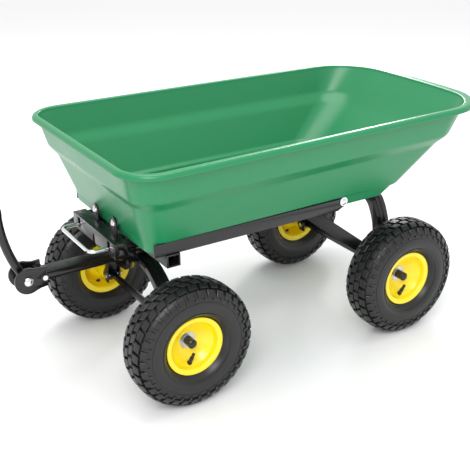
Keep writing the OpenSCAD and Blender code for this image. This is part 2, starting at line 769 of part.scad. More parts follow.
// Fork with two round ears and a boxed shank around the end of the drawbar
module yoke() color(black) centred() difference() {
    union() {
        for (side = [-1, 1]) mirrored(side) slab_y(ear_in, ear_out) yoke_profile();
        span([yoke_back - 16, -ear_out, tongue_z + tongue_height], [yoke_back, ear_out, tongue_z + tongue_height + 4]);
        span([yoke_back - 16, -ear_out, tongue_z - 4], [yoke_back, ear_out, tongue_z]);
    }
    translate([hitch_x, 0, hitch_z]) rod_y(hitch_pin_diameter / 2 + run_fit, -ear_out - 1, ear_out + 1);
    translate([yoke_bolt_x, 0, tongue_z + tongue_height / 2]) rod_y(3 + bolt_fit, -30, 30);
}

// Cross bolt along Y: shank of diameter d between two side faces at +-half
module cross_bolt(d, half) {
    rod_y(d / 2, -half, half + 1);
    translate([0, -half, 0]) rotate([90, 0, 0]) hexagon(1.65 * d, 0.7 * d);
    translate([0, half, 0]) rotate([-90, 0, 0]) hexagon(1.65 * d, 0.8 * d);
}

// Bolts of the yoke, of the drawbar and of the bracket under it
module tongue_bolts() color(chrome) centred() {
    plate_out = tongue_width / 2 + 0.2 + steel;
    translate([yoke_bolt_x, 0, tongue_z + tongue_height / 2]) cross_bolt(6, ear_out);
    translate([arch_face - 34, 0, tongue_z + tongue_height / 2]) cross_bolt(6, plate_out);
    translate([bracket_bolt_at[0], 0, bracket_bolt_at[1]]) cross_bolt(8, plate_out);
}

module hitch_pin() color(chrome) centred() translate([hitch_x, 0, hitch_z]) {
    rod_y(hitch_pin_diameter / 2, -ear_out - 0.2, ear_out + 14);
    translate([0, -ear_out - 0.2, 0]) rotate([90, 0, 0]) intersection() {
        translate([0, 0, -7]) sphere(r = 13);
        cylinder(r = 9, h = 8);
    }
    translate([0, ear_out + 0.2, 0]) rotate([-90, 0, 0]) hexagon(19, 8);
}

// ---------- pull handle ----------

// Points of the handle's centre line in the X-Z plane
function handle_top() = [hitch_x - 40, hitch_z + handle_rise];
function handle_end() =
    handle_top() + handle_bend_r * [-(1 - cos(handle_lean)), sin(handle_lean)]
    + handle_length * [-sin(handle_lean), cos(handle_lean)];

// Round tube bent in the X-Z plane: an arc up to the vertical, a ferrule over
// the joint, then a bend forward into a slightly thicker straight shaft
module handle_tube() color(black) centred() {
    top = handle_top();
    r = handle_tube / 2;
    sweep = asin((handle_rise - 12) / handle_arc_r);
    difference() {
        union() {
            translate([top[0] + handle_arc_r, 0, top[1]]) rotate([90, 0, 0]) mirror([1, 0, 0])
                rotate([0, 0, -sweep]) rotate_extrude(angle = sweep)
                    translate([handle_arc_r, 0]) circle(r = r);
            translate([top[0], 0, top[1] - 10]) cylinder(r = r + 0.6, h = 12);
            translate([top[0] - handle_bend_r, 0, top[1]]) rotate([90, 0, 0])
                rotate_extrude(angle = handle_lean) translate([handle_bend_r, 0]) circle(r = r);
            translate([handle_end()[0], 0, handle_end()[1]]) rotate([0, -handle_lean, 0])
                translate([0, 0, -handle_length - 3]) cylinder(r = r + 0.4, h = handle_length + 3 - loop_drop);
        }
        translate([hitch_x, 0, hitch_z]) rod_y(hub_r, -30, 30);
    }
}

loop_drop = 96;
loop_tube = 14;
loop_bend_r = 18;
loop_straight = 22;

module handle_hub() color(black) centred() translate([hitch_x, 0, hitch_z]) difference() {
    rod_y(hub_r, -ear_in + face_gap, ear_in - face_gap);
    rod_y(hitch_pin_diameter / 2 + run_fit, -30, 30);
}

// Triangular loop at the end of the tube; its two arms end in eyes that hold the grip
module handle_loop() color(black) centred()
    translate([handle_end()[0], 0, handle_end()[1]]) rotate([0, -handle_lean, 0]) {
        arm_half = grip_width / 2 - loop_tube / 2;
        tube_r = loop_tube / 2 - 1;
        drop = loop_drop - 12;
        reach = norm([arm_half - loop_bend_r, drop - loop_straight]);
        slope = atan2(arm_half - loop_bend_r, drop - loop_straight) + asin(loop_bend_r / reach);
        translate([0, 0, -loop_drop]) cylinder(r = handle_tube / 2 + 2.5, h = 20);
        for (side = [-1, 1]) mirrored(side) difference() {
            union() {
                translate([0, 0, -drop]) rotate([-slope, 0, 0])
                    cylinder(r = tube_r, h = sqrt(reach * reach - loop_bend_r * loop_bend_r) + 0.5);
                translate([0, arm_half - loop_bend_r, -loop_straight]) rotate([0, 90, 0])
                    rotate([0, 0, 90 - slope]) rotate_extrude(angle = slope)
                        translate([loop_bend_r, 0]) circle(r = tube_r - 0.1);
                translate([0, arm_half, -loop_straight - 0.5]) cylinder(r = tube_r, h = loop_straight);
                rod_y(loop_tube / 2 + 2, arm_half - loop_tube / 2, arm_half + loop_tube / 2);
            }
            rod_y(grip_core + 0.05, 0.5, grip_width);
        }
    }

grip_core = 5;

// Moulded hand grip between the two arms, on a steel core
module handle_grip() color(rubber) centred()
    translate([handle_end()[0], 0, handle_end()[1]]) rotate([0, -handle_lean, 0]) {
        inner = grip_width / 2 - loop_tube - 1;
        rod_y(grip_r, -inner, inner);
        rod_y(grip_core, -grip_width / 2, grip_width / 2);
    }

// ---------- wheels ----------

wheel_y = track / 2;
bead_r = rim_diameter / 2 - 11;
flange_y = 27;
hub_out = wheel_y - 3;
hub_length = 52;
hub_wall = 2.5;

// Turns an outline of radius and outward distance into a wheel part
module wheel_part(x, side) {
    translate([x, 0, wheel_r]) mirrored(side) translate([0, wheel_y, 0]) rotate([-90, 0, 0])
        rotate_extrude($fn = 96) children();
}

// Tyre section: tread, shoulders, side walls and beads, hollow inside
module tyre_section() {
    w = tyre_width / 2;
    seat = flange_y - 1.6;
    difference() {
        polygon([
            [bead_r, -seat + 3],
            [bead_r + 2, -seat],
            [rim_edge + 0.5, -seat],
            [rim_edge + 3, -seat - 7],
            [rim_edge + 9, -w + 3],
            [bead_r + 32, -w],
            [bead_r + 46, -w + 1],
            [wheel_r - 20, -w + 4],
            [wheel_r - 8, -w + 10],
            [wheel_r - 2, -w + 20],
            [wheel_r, -w + 32],
            [wheel_r, w - 32],
            [wheel_r - 2, w - 20],
            [wheel_r - 8, w - 10],
            [wheel_r - 20, w - 4],
            [bead_r + 46, w - 1],
            [bead_r + 32, w],
            [rim_edge + 9, w - 3],
            [rim_edge + 3, seat + 7],
            [rim_edge + 0.5, seat],
            [bead_r + 2, seat],
            [bead_r, seat - 3]
        ]);
        polygon([
            [bead_r - 1, -seat + 12],
            [bead_r + 14, -seat + 8],
            [bead_r + 32, -w + 8],
            [wheel_r - 28, -w + 11],
            [wheel_r - 15, -w + 22],
            [wheel_r - 13, 0],
            [wheel_r - 15, w - 22],
            [wheel_r - 28, w - 11],
            [bead_r + 32, w - 8],
            [bead_r + 14, seat - 8],
            [bead_r - 1, seat - 12]
        ]);
    }
}

rim_edge = rim_diameter / 2;

// Rim section: barrel with two flanges, a dished disc and the hub tube
module rim_section() {
    t = rim_wall;
    hub_r_in = bearing_diameter / 2;
    hub_r_out = hub_r_in + hub_wall;
    out = hub_out - wheel_y;
    seat = flange_y - 1.5;
    polygon([
        [bead_r - t, -seat + 1],
        [bead_r + 1, -seat - t],
        [rim_edge, -seat - t],
        [rim_edge, -seat],
        [bead_r + 1.8, -seat],
        [bead_r, -seat + 3],
        [bead_r, seat - 3],
        [bead_r + 1.8, seat],
        [rim_edge, seat],
        [rim_edge, seat + t],
        [bead_r + 1, seat + t],
        [bead_r - t, seat - 1]
    ]);
    polygon([
        [bead_r - 1, flange_y - 10],
        [bead_r - 8, flange_y - 17],
        [bead_r - 18, out + 3],
        [hub_r_out - 1, out - 2],
        [hub_r_out - 1, out - 2 - t],
        [bead_r - 17, out + 3 - t],
        [bead_r - 7, flange_y - 17 - t],
        [bead_r - 1, flange_y - 11 - t]
    ]);
    translate([hub_r_in, out - hub_length]) square([hub_wall, hub_length]);
}

valve_r = 5;

module tyre(x, side) color(rubber) centred() wheel_part(x, side) tyre_section();

module rim(x, side) color(yellow) centred() difference() {
    wheel_part(x, side) rim_section();
    valve_axis(x, side) cylinder(r = valve_r, h = 18, center = true);
}

// The valve leaves the dish at its lower edge and leans towards the hub
module valve_axis(x, side) {
    translate([x, 0, wheel_r]) mirrored(side) translate([-6, wheel_y + flange_y - 16, -bead_r + 7])
        rotate([-24, 0, 0]) rotate([0, 10, 0]) children();
}

// Ball bearings with a recessed seal, one at each end of the hub
module bearings(x, side) color(zinc) centred() wheel_part(x, side) {
    out = hub_out - wheel_y;
    for (y = [out - bearing_width, out - hub_length]) translate([0, y]) difference() {
        translate([axle_r, 0]) square([(bearing_diameter - axle_diameter) / 2, bearing_width]);
        for (end = [-1, bearing_width - 0.8])
            translate([axle_r + 3, end]) square([(bearing_diameter - axle_diameter) / 2 - 6, 1.8]);
    }
}

// Snap-in rubber valve with a cap
module valve(x, side) color(rubber) centred() valve_axis(x, side) {
    translate([0, 0, -7]) cylinder(r = valve_r, h = 11);
    translate([0, 0, 3]) cylinder(r = 4, h = 14);
    translate([0, 0, 16]) cylinder(r = 3.2, h = 12);
}

// Wheel corners: name, place along X, side
corners = [
    ["front_left", front_x, -1],
    ["front_right", front_x, 1],
    ["rear_left", rear_x, -1],
    ["rear_right", rear_x, 1]
];

module bed_rail_left() bed_rail(-1);
module bed_rail_right() bed_rail(1);
module hinge_arm_left() hinge_arm(-1);
module hinge_arm_right() hinge_arm(1);
module brace_left() brace(-1);
module brace_right() brace(1);

tub();
bed_rail_left();
bed_rail_right();
bed_front_channel();
bed_rear_channel();
hinge_arm_left();
hinge_arm_right();
front_bracket();
bracket_bolts();
rail_side_bolts();
rail_floor_bolts();
release_handle();
latch_hook();
latch_springs();
main_beam();
bed_pad();
rear_arch();
rear_axle();
brace_left();
brace_right();
pivot_tubes();
pivot_rod();
pivot_pins();
arch_bolts();
rear_axle_caps();
rear_axle_bolts();
front_arch();
front_axle();
turntable();
tongue();
tongue_bracket();
yoke();
kingpin();
thrust_washer();
tongue_bolts();
front_axle_caps();
front_axle_bolts();
hitch_pin();
handle_hub();
handle_tube();
handle_loop();
handle_grip();
for (c = corners) {
    tyre(c[1], c[2]);
    rim(c[1], c[2]);
    bearings(c[1], c[2]);
    valve(c[1], c[2]);
}
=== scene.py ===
"""Finishes for the tow behind cart: detailed tyres, rims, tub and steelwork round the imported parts."""

import json
import math

import bmesh
import bpy
from mathutils import Matrix, Vector

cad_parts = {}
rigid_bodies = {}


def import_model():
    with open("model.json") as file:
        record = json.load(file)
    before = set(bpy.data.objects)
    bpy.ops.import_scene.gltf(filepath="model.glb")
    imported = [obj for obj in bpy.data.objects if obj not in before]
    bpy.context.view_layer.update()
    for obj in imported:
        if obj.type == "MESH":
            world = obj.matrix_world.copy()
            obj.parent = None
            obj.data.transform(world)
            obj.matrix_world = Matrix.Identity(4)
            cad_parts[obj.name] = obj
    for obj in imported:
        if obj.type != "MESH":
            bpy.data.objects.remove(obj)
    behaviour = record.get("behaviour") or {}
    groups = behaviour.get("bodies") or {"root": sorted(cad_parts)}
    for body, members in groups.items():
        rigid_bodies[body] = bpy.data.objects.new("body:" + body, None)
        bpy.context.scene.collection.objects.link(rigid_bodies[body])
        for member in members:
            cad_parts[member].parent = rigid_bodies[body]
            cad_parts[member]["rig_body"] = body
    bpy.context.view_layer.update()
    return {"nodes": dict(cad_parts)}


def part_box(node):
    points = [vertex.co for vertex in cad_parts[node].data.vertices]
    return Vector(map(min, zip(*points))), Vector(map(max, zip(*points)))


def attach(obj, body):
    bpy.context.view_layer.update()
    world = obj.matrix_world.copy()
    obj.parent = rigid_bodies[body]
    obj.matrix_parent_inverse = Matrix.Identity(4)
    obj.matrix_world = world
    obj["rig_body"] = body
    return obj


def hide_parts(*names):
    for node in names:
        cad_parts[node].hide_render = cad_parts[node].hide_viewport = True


bl_info = {
    "name": "Tow Behind Cart",
    "version": (1, 0, 0),
    "blender": (4, 5, 0),
    "location": "View3D > Sidebar > Cart",
    "description": "Builds the tub, tyres, rims, steelwork, handle and stage of a tow behind dump cart",
    "category": "Add Mesh",
}

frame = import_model()

MM = 0.001
CORNERS = ("front_left", "front_right", "rear_left", "rear_right")
STEELWORK = (
    "main_beam",
    "rear_arch",
    "front_arch",
    "turntable",
    "tongue",
    "tongue_bracket",
    "yoke",
    "brace_left",
    "brace_right",
    "bed_rail_left",
    "bed_rail_right",
    "bed_front_channel",
    "bed_rear_channel",
    "hinge_arm_left",
    "hinge_arm_right",
    "front_bracket",
    "latch_hook",
    "pivot_tubes",
    "handle_hub",
    "handle_loop",
)
ROUND_STEEL = (
    "rear_axle",
    "front_axle",
    "rear_axle_caps",
    "front_axle_caps",
    "handle_tube",
)
CHROME_NODES = (
    "bracket_bolts",
    "rail_side_bolts",
    "rail_floor_bolts",
    "release_handle",
    "rear_axle_bolts",
    "front_axle_bolts",
    "tongue_bolts",
    "hitch_pin",
)
ZINC_NODES = ("latch_springs", "pivot_rod", "pivot_pins", "arch_bolts", "kingpin")


def body_with(node):
    """The CAD body that holds a node."""
    return frame["nodes"][node]["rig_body"]


def middle(node):
    """The middle of a CAD node's box."""
    low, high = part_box(node)
    return (low + high) / 2


# ---------- settings ----------


class TubSettings(bpy.types.PropertyGroup):
    """Sizes and colour of the moulded tub."""

    colour: bpy.props.FloatVectorProperty(
        name="Colour",
        description="Colour of the moulded plastic",
        subtype="COLOR",
        size=3,
        min=0,
        max=1,
        default=(0.011, 0.215, 0.080),
    )
    wall: bpy.props.FloatProperty(
        name="Wall",
        description="Thickness of the moulded wall",
        subtype="DISTANCE",
        unit="LENGTH",
        default=3.5 * MM,
        min=2 * MM,
        max=6 * MM,
    )
    lip_drop: bpy.props.FloatProperty(
        name="Lip drop",
        description="How far the rolled lip turns down",
        subtype="DISTANCE",
        unit="LENGTH",
        default=11 * MM,
        min=6 * MM,
        max=16 * MM,
    )
    corner_steps: bpy.props.IntProperty(
        name="Corner steps",
        description="Faces round each corner of the tub",
        default=14,
        min=6,
        max=32,
    )


class TyreSettings(bpy.types.PropertyGroup):
    """Sizes and colour of the treaded tyres."""

    colour: bpy.props.FloatVectorProperty(
        name="Rubber",
        description="Colour of the tyre rubber",
        subtype="COLOR",
        size=3,
        min=0,
        max=1,
        default=(0.008, 0.008, 0.009),
    )
    tread_depth: bpy.props.FloatProperty(
        name="Tread depth",
        description="Height of the tread blocks over the carcass",
        subtype="DISTANCE",
        unit="LENGTH",
        default=5.5 * MM,
        min=2 * MM,
        max=9 * MM,
    )
    block_count: bpy.props.IntProperty(
        name="Blocks round",
        description="Tread blocks in one turn of a row",
        default=34,
        min=20,
        max=60,
    )


class MetalSettings(bpy.types.PropertyGroup):
    """Colours of the painted and plated metal."""

    rim_colour: bpy.props.FloatVectorProperty(
        name="Rim paint",
        description="Colour of the painted rims",
        subtype="COLOR",
        size=3,
        min=0,
        max=1,
        default=(0.98, 0.74, 0.004),
    )
    frame_colour: bpy.props.FloatVectorProperty(
        name="Frame coat",
        description="Colour of the powder coat on the frame",
        subtype="COLOR",
        size=3,
        min=0,
        max=1,
        default=(0.004, 0.004, 0.0045),
    )
    edge_round: bpy.props.FloatProperty(
        name="Edge round",
        description="Radius that the coating gives to sheet steel edges",
        subtype="DISTANCE",
        unit="LENGTH",
        default=0.7 * MM,
        min=0.1 * MM,
        max=1.5 * MM,
    )


# ---------- mesh tools ----------


def mesh_object(name, points, faces, body, slot, material, sharp=40):
    """A smooth shaded mesh object that rides on a body."""
    mesh = bpy.data.meshes.new(name)
    mesh.from_pydata([tuple(p) for p in points], [], faces)
    mesh.validate()
    finish_mesh(mesh, sharp)
    obj = bpy.data.objects.new(name, mesh)
    bpy.context.scene.collection.objects.link(obj)
    mesh.materials.append(material)
    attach(obj, body)
    return obj


def finish_mesh(mesh, sharp):
    """Outward faces, smooth shading and creases over an angle in degrees."""
    bm = bmesh.new()
    bm.from_mesh(mesh)
    bmesh.ops.remove_doubles(bm, verts=bm.verts, dist=0.00001)
    bmesh.ops.recalc_face_normals(bm, faces=bm.faces)
    bm.to_mesh(mesh)
    bm.free()
    for polygon in mesh.polygons:
        polygon.use_smooth = True
    mesh.set_sharp_from_angle(angle=math.radians(sharp))


def lathe(profile, steps, closed=False):
    """Points and faces of a profile of (radius, along) turned about the Y axis."""
    points, faces = [], []
    count = len(profile)
    for i in range(steps):
        a = 2 * math.pi * i / steps
        for radius, along in profile:
            points.append((radius * math.cos(a), along, radius * math.sin(a)))
    for i in range(steps):
        row, following = i * count, (i + 1) % steps * count
        for j in range(count if closed else count - 1):
            k = (j + 1) % count
            faces.append((row + j, row + k, following + k, following + j))
    return points, faces


def rounded(profile, radius, steps=4, closed=False):
    """A profile with each inner corner turned into a short curve."""
    result = []
    count = len(profile)
    for i, here in enumerate(profile):
        if not closed and i in (0, count - 1):
            result.append(tuple(here))
            continue
        before, after = profile[i - 1], profile[(i + 1) % count]
        here_v = Vector(here)
        to_before, to_after = Vector(before) - here_v, Vector(after) - here_v
        reach = min(radius, 0.45 * to_before.length, 0.45 * to_after.length)
        start = here_v + to_before.normalized() * reach
        end = here_v + to_after.normalized() * reach
        for step in range(steps + 1):
            t = step / steps
            result.append(tuple((1 - t) ** 2 * start + 2 * t * (1 - t) * here_v + t * t * end))
    return result


def merged(parts):
    """One list of points and faces from several."""
    points, faces = [], []
    for part_points, part_faces in parts:
        base = len(points)
        points += part_points
        faces += [tuple(base + i for i in face) for face in part_faces]
    return points, faces


# ---------- shader groups and materials ----------


def group_with(name, inputs, outputs):
    """An empty shader group with named value inputs and outputs."""
    tree = bpy.data.node_groups.new(name, "ShaderNodeTree")
    for label, default in inputs:
        socket = tree.interface.new_socket(label, in_out="INPUT", socket_type="NodeSocketFloat")
        socket.default_value = default
    for label in outputs:
        tree.interface.new_socket(label, in_out="OUTPUT", socket_type="NodeSocketFloat")
    return tree, tree.nodes.new("NodeGroupInput"), tree.nodes.new("NodeGroupOutput")


def add(tree, kind, **settings):
    """A node with its attributes and unlinked inputs set."""
    node = tree.nodes.new(kind)
    for key, value in settings.items():
        if hasattr(node, key):
            setattr(node, key, value)
        else:
            node.inputs[key.replace("_", " ").title()].default_value = value
    return node


def grain_group():
    """Fine moulded or sprayed grain, with a slow change from place to place."""
    name = "surface grain"
    if name in bpy.data.node_groups:
        return bpy.data.node_groups[name]
    tree, given, out = group_with(
        name, (("Scale", 600.0), ("Slow Scale", 9.0)), ("Height", "Variation")
    )
    where = add(tree, "ShaderNodeTexCoord")
    fine = add(tree, "ShaderNodeTexNoise", detail=2.0, roughness=0.5)
    slow = add(tree, "ShaderNodeTexNoise", detail=3.0, roughness=0.55)
    for texture, scale in ((fine, "Scale"), (slow, "Slow Scale")):
        tree.links.new(where.outputs["Object"], texture.inputs["Vector"])
        tree.links.new(given.outputs[scale], texture.inputs["Scale"])
    tree.links.new(fine.outputs["Fac"], out.inputs["Height"])
    tree.links.new(slow.outputs["Fac"], out.inputs["Variation"])
    return tree


def dust_group():
    """Thin dust that lies in patches on what faces up."""
    name = "dust film"
    if name in bpy.data.node_groups:
        return bpy.data.node_groups[name]
    tree, given, out = group_with(name, (("Amount", 0.2), ("Patch Scale", 30.0)), ("Mask",))
    geometry = add(tree, "ShaderNodeNewGeometry")
    split = add(tree, "ShaderNodeSeparateXYZ")
    tree.links.new(geometry.outputs["Normal"], split.inputs[0])
    upward = add(tree, "ShaderNodeMapRange")
    upward.inputs["From Min"].default_value = -0.2
    upward.inputs["From Max"].default_value = 1.0
    tree.links.new(split.outputs["Z"], upward.inputs["Value"])
    where = add(tree, "ShaderNodeTexCoord")
    patches = add(tree, "ShaderNodeTexNoise", detail=5.0, roughness=0.65)
    tree.links.new(where.outputs["Object"], patches.inputs["Vector"])
    tree.links.new(given.outputs["Patch Scale"], patches.inputs["Scale"])
    spread = add(tree, "ShaderNodeMath", operation="MULTIPLY")
    tree.links.new(upward.outputs["Result"], spread.inputs[0])
    tree.links.new(patches.outputs["Fac"], spread.inputs[1])
    scaled = add(tree, "ShaderNodeMath", operation="MULTIPLY")
    tree.links.new(spread.outputs[0], scaled.inputs[0])
    tree.links.new(given.outputs["Amount"], scaled.inputs[1])
    tree.links.new(scaled.outputs[0], out.inputs["Mask"])
    return tree


def scratch_group():
    """Long fine scratches and brush lines, stretched along one direction."""
    name = "fine scratches"
    if name in bpy.data.node_groups:
        return bpy.data.node_groups[name]
    tree, given, out = group_with(name, (("Scale", 160.0),), ("Lines", "Height"))
    where = add(tree, "ShaderNodeTexCoord")
    stretch = add(tree, "ShaderNodeMapping")
    stretch.inputs["Scale"].default_value = (1.0, 14.0, 14.0)
    stretch.inputs["Rotation"].default_value = (0.0, 0.0, 0.4)
    tree.links.new(where.outputs["Object"], stretch.inputs["Vector"])
    lines = add(tree, "ShaderNodeTexNoise", detail=4.0, roughness=0.7)
    tree.links.new(stretch.outputs[0], lines.inputs["Vector"])
    tree.links.new(given.outputs["Scale"], lines.inputs["Scale"])
    contrast = add(tree, "ShaderNodeMapRange")
    contrast.inputs["From Min"].default_value = 0.45
    contrast.inputs["From Max"].default_value = 0.75
    tree.links.new(lines.outputs["Fac"], contrast.inputs["Value"])
    tree.links.new(contrast.outputs["Result"], out.inputs["Lines"])
    tree.links.new(lines.outputs["Fac"], out.inputs["Height"])
    return tree


def place_group(tree, group, **values):
    """A group node in a material, with its own values."""
    node = tree.nodes.new("ShaderNodeGroup")
    node.node_tree = group
    for key, value in values.items():
        node.inputs[key.replace("_", " ").title()].default_value = value
    return node


def finish_material(
    name,
    colour,
    roughness,
    metallic=0.0,
    coat=0.0,
    grain=600.0,
    bump=0.00004,
    tint=0.12,
    dust=0.0,
    scratches=0.0,
    dust_colour=(0.20, 0.18, 0.15),
    specular=0.5,
    roughness_change=0.08,
):
    """A finish made of a base colour, grain, dust and scratches."""
    if name in bpy.data.materials:
        return bpy.data.materials[name]
    material = bpy.data.materials.new(name)
    material.use_nodes = True
    material.diffuse_color = (*colour, 1)
    tree = material.node_tree
    shader = tree.nodes["Principled BSDF"]
    shader.inputs["Metallic"].default_value = metallic
    shader.inputs["Coat Weight"].default_value = coat
    shader.inputs["Coat Roughness"].default_value = 0.12
    shader.inputs["Specular IOR Level"].default_value = specular
    surface = place_group(tree, grain_group(), scale=grain)
    shade = add(tree, "ShaderNodeMix", data_type="RGBA")
    colour_socket = [s for s in shade.inputs if s.type == "RGBA"]
    colour_socket[0].default_value = (*[c * (1 - tint) for c in colour], 1)
    colour_socket[1].default_value = (*[min(1, c * (1 + tint)) for c in colour], 1)
    shade_out = [s for s in shade.outputs if s.type == "RGBA"][0]
    tree.links.new(surface.outputs["Variation"], shade.inputs[0])
    rough = add(tree, "ShaderNodeMapRange")
    rough.inputs["To Min"].default_value = roughness - roughness_change
    rough.inputs["To Max"].default_value = roughness + roughness_change
    tree.links.new(surface.outputs["Variation"], rough.inputs["Value"])
    colour_out, rough_out = shade_out, rough.outputs["Result"]
    if scratches:
        lines = place_group(tree, scratch_group())
        more = add(tree, "ShaderNodeMath", operation="MULTIPLY_ADD")
        more.inputs[1].default_value = scratches
        tree.links.new(lines.outputs["Lines"], more.inputs[0])
        tree.links.new(rough_out, more.inputs[2])
        rough_out = more.outputs[0]
    if dust:
        film = place_group(tree, dust_group(), amount=dust)
        dusty = add(tree, "ShaderNodeMix", data_type="RGBA")
        sockets = [s for s in dusty.inputs if s.type == "RGBA"]
        sockets[1].default_value = (*dust_colour, 1)
        tree.links.new(film.outputs["Mask"], dusty.inputs[0])
        tree.links.new(colour_out, sockets[0])
        colour_out = [s for s in dusty.outputs if s.type == "RGBA"][0]
        dull = add(tree, "ShaderNodeMath", operation="ADD")
        tree.links.new(rough_out, dull.inputs[0])
        tree.links.new(film.outputs["Mask"], dull.inputs[1])
        rough_out = dull.outputs[0]
    tree.links.new(colour_out, shader.inputs["Base Color"])
    tree.links.new(rough_out, shader.inputs["Roughness"])
    relief = add(tree, "ShaderNodeBump")
    relief.inputs["Strength"].default_value = 1.0
    relief.inputs["Distance"].default_value = bump
    tree.links.new(surface.outputs["Height"], relief.inputs["Height"])
    tree.links.new(relief.outputs["Normal"], shader.inputs["Normal"])
    return material


def tub_plastic():
    colour = tuple(bpy.context.scene.cart_tub.colour)
    return finish_material(
        "moulded green polyethylene", colour, 0.30, grain=420.0, bump=0.00003, tint=0.06, dust=0.01
    )


def tyre_rubber():
    colour = tuple(bpy.context.scene.cart_tyres.colour)
    return finish_material(
        "treaded tyre rubber", colour, 0.36, grain=900.0, bump=0.00005, tint=0.2, dust=0.03, specular=0.5
    )


def powder_coat():
    colour = tuple(bpy.context.scene.cart_metal.frame_colour)
    return finish_material(
        "black powder coat", colour, 0.24, grain=700.0, bump=0.00004, tint=0.15, dust=0.02, coat=0.1
    )


def rim_paint():
    colour = tuple(bpy.context.scene.cart_metal.rim_colour)
    return finish_material(
        "yellow rim paint", colour, 0.30, grain=300.0, bump=0.00002, tint=0.05, dust=0.02, coat=0.5
    )


def chrome_plate():
    return finish_material(
        "bright plating", (0.80, 0.80, 0.82), 0.10, metallic=1.0, grain=200.0, bump=0.00001, tint=0.04,
        scratches=0.10, roughness_change=0.03
    )


def zinc_plate():
    return finish_material(
        "zinc plating", (0.62, 0.62, 0.60), 0.32, metallic=1.0, grain=350.0, bump=0.00002, tint=0.10,
        scratches=0.15
    )


def moulded_rubber():
    return finish_material(
        "moulded rubber", (0.018, 0.018, 0.019), 0.55, grain=1100.0, bump=0.00006, tint=0.2, dust=0.05
    )


def plain_nylon():
    return finish_material(
        "plain nylon", (0.75, 0.73, 0.66), 0.45, grain=500.0, bump=0.00003, tint=0.05, dust=0.05
    )


# ---------- tub ----------

TUB_LOW, TUB_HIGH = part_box("tub")
RIM_Z = TUB_HIGH.z
FLOOR_Z = TUB_LOW.z
TUB_FRONT_HALF = 272 * MM
TUB_REAR_HALF = 248 * MM
REAR_BOW = 14 * MM
# share of the height, then in millimetres the insets of the front, the rear, the front half width and
# the rear half width, and the front and rear corner radii
WALL_LEVELS = (
    (0.000, 71, 236, 91, 74, 24, 36),
    (0.115, 68, 192, 88, 70, 28, 54),
    (0.132, 66, 184, 78, 62, 46, 62),
    (0.558, 40, 90, 44, 40, 54, 74),
    (0.658, 26, 72, 28, 24, 56, 76),
    (0.984, 11, 22, 14, 12, 60, 112),
)
LEAST_CORNER = 6 * MM
# how far each level's edge is rounded, outside and inside, in millimetres
OUTER_REACHES = (5, 3, 3, 5, 5, 3)
INNER_REACHES = (6, 4, 4, 7, 7, 4)
# how far each level of the inside is lifted over the outside's, in wall thicknesses
INNER_LIFTS = (1, 0.9, 1.0, 0.7, 0.7, -0.6)
SIDE_STEPS = 12
PANEL_INSET = 40 * MM
PANEL_RISE = 3.2 * MM
LIP_FRONT_CORNER = 76 * MM
LIP_REAR_CORNER = 126 * MM
LIP_ROLL = 8 * MM
LIP_ROLL_STEPS = 7


def ring(x0, x1, front_half, rear_half, front_r, rear_r, z, steps):
    """One closed outline of the tub: tapered, round cornered, with a bowed rear."""

    def half_at(x):
        return front_half + (rear_half - front_half) * (x - x0) / (x1 - x0)

    def corner(cx, cy, r, start):
        turn = [math.radians(start + 90 * i / steps) for i in range(steps + 1)]
        return [[cx + r * math.cos(a), cy + r * math.sin(a)] for a in turn]

    def straight(a, b, pieces):
        return [[a[k] + (b[k] - a[k]) * i / pieces for k in (0, 1)] for i in range(1, pieces)]

    front_c, rear_c = x0 + front_r, x1 - rear_r
    front_y, rear_y = half_at(front_c) - front_r, half_at(rear_c) - rear_r
    corners = [
        corner(front_c, -front_y, front_r, 180),
        corner(rear_c, -rear_y, rear_r, 270),
        corner(rear_c, rear_y, rear_r, 0),
        corner(front_c, front_y, front_r, 90),
    ]
    outline = []
    for i, arc in enumerate(corners):
        outline += arc
        outline += straight(arc[-1], corners[(i + 1) % 4][0], SIDE_STEPS)
    points = []
    for x, y in outline:
        t = max(0.0, min(1.0, (x - rear_c) / rear_r))
        points.append(Vector((x - REAR_BOW * (y / rear_half) ** 2 * t, y, z)))
    return points


def wall_ring(level, inset, lift, steps):
    """The outline of one wall level, moved inwards and up."""
    share, front, rear, front_in, rear_in, front_r, rear_r = level
    return ring(
        TUB_LOW.x + front * MM + inset,
        TUB_HIGH.x - rear * MM - inset,
        TUB_FRONT_HALF - front_in * MM - inset,
        TUB_REAR_HALF - rear_in * MM - inset,
        max(LEAST_CORNER, front_r * MM - inset),
        max(LEAST_CORNER, rear_r * MM - inset),
        FLOOR_Z + share * (RIM_Z - FLOOR_Z) + lift,
        steps,
    )


def lip_ring(inset, drop, steps):
    """The outline of the rolled lip, moved inwards and down."""
    return ring(
        TUB_LOW.x + inset,
        TUB_HIGH.x - inset,
        TUB_FRONT_HALF - inset,
        TUB_REAR_HALF - inset,
        LIP_FRONT_CORNER - inset,
        LIP_REAR_CORNER - inset,
        RIM_Z - drop,
        steps,
    )


def smooth_rings(rings, reaches, steps=4):
    """Rings with each inner level turned into a short curve between its neighbours."""
    result = [rings[0]]
    for i in range(1, len(rings) - 1):
        reach = reaches[i]
        if not reach:
            result.append(rings[i])
            continue
        for step in range(steps + 1):
            t = step / steps
            points = []
            for a, b, c in zip(rings[i - 1], rings[i], rings[i + 1]):
                start = b + (a - b).normalized() * min(reach, 0.45 * (a - b).length)
                end = b + (c - b).normalized() * min(reach, 0.45 * (c - b).length)
                points.append((1 - t) ** 2 * start + 2 * t * (1 - t) * b + t * t * end)
            result.append(points)
    return result + [rings[-1]]


def rings_to_mesh(rings):
    """Quads between rings, with a flat cap at both ends."""
    count = len(rings[0])
    points = [p for one in rings for p in one]
    faces = []
    for r in range(len(rings) - 1):
        for i in range(count):
            j = (i + 1) % count
            faces.append((r * count + i, r * count + j, (r + 1) * count + j, (r + 1) * count + i))
    faces.append(tuple(reversed(range(count))))
    last = (len(rings) - 1) * count
    faces.append(tuple(last + i for i in range(count)))
    return points, faces


